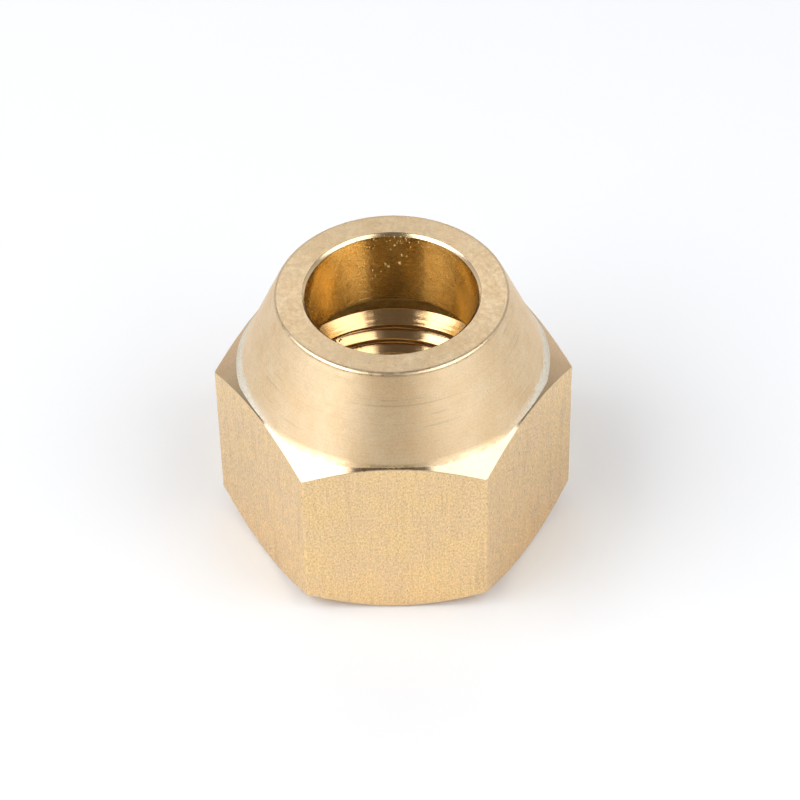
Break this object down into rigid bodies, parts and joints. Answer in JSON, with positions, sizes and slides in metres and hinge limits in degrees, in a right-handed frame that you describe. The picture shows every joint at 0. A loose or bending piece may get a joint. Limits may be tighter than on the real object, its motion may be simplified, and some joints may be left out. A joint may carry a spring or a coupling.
{
  "type": "flare nut",
  "caption": "Hexagonal brass flare nut: tapered nose with a tube bore, internal flare seat and a right-hand female thread.",
  "frame": {"origin": "centre of the threaded end face, the face that the nut stands on", "axes": "+Z along the nut's axis from the threaded end to the nose; +X through a corner of the hexagon; +Y square to a wrench flat"},
  "size_m": [0.0278, 0.024, 0.0222],
  "materials": {
    "brass": "machined, uncoated: fine turning marks on the nose and neck, drawn grain on the flats"
  },
  "bodies": {
    "root": {"flare_nut": "brass"}
  },
  "joints": []
}
